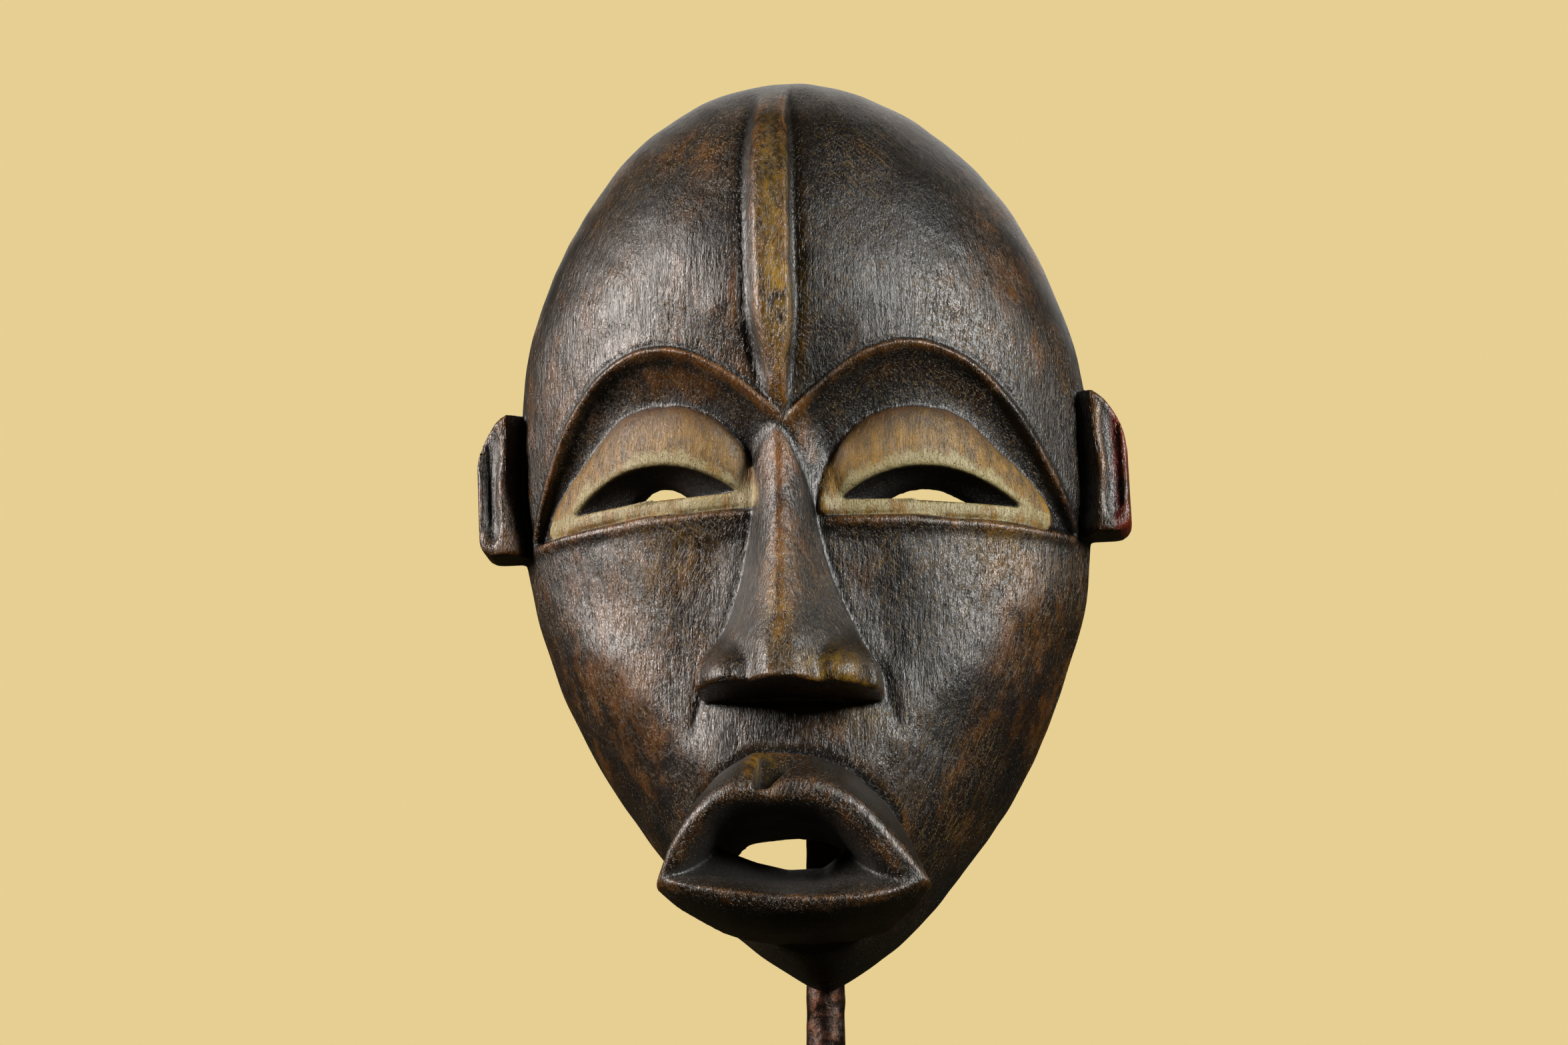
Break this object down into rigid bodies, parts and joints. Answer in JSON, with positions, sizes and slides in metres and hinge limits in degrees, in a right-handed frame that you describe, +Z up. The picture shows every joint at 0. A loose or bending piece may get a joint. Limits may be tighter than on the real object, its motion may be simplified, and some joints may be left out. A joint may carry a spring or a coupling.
{
  "type": "carved wooden mask on a display stand",
  "caption": "Hollowed hardwood face mask with a forehead keel, slit eyes and an open mouth, resting on the felted saddle of an iron display stand.",
  "frame": {"origin": "middle of the underside of the base felt, on the axis of the upright rod", "axes": "+Z up along the rod; the front of the mask looks along -Y; +X is to the viewer's right"},
  "size_m": [0.1718, 0.1428, 0.4348],
  "materials": {
    "patinated_wood": "oiled dark brown patina, polished by handling, with soot and kaolin in the eyes",
    "hammered_iron": "hammered and rust-browned, waxed",
    "base_iron": "flat rolled plate, browned and waxed",
    "rivet_iron": "peened, slightly bright on top",
    "zinc_steel": "dull zinc plating",
    "wool_felt": "pressed dark grey wool felt"
  },
  "bodies": {
    "base": {"base_plate": "base_iron", "base_felt": "wool_felt", "rod_socket": "base_iron", "socket_bolt": "zinc_steel", "socket_washer": "zinc_steel"},
    "lock_screw": {"lock_screw": "rivet_iron"},
    "stand_rod": {"upright_rod": "hammered_iron", "chin_felt": "wool_felt", "crown_arm": "hammered_iron", "arm_rivets": "rivet_iron", "crown_saddle": "hammered_iron", "crown_felt": "wool_felt"},
    "mask": {"mask_body": "patinated_wood"}
  },
  "joints": [
    {"name": "rod_swivel", "type": "hinge", "parent": "base", "child": "stand_rod", "pos_m": [0, 0, 0.03], "axis": [0, 0, 1], "continuous": true},
    {"name": "lock_screw_turn", "type": "hinge", "parent": "base", "child": "lock_screw", "pos_m": [0, 0.012, 0.035], "axis": [0, 1, 0], "range_deg": [0, 720]},
    {"name": "mask_lift_off", "type": "slide", "parent": "stand_rod", "child": "mask", "axis": [0, -0.7071, 0.7071], "range_m": [0, 0.1]}
  ]
}
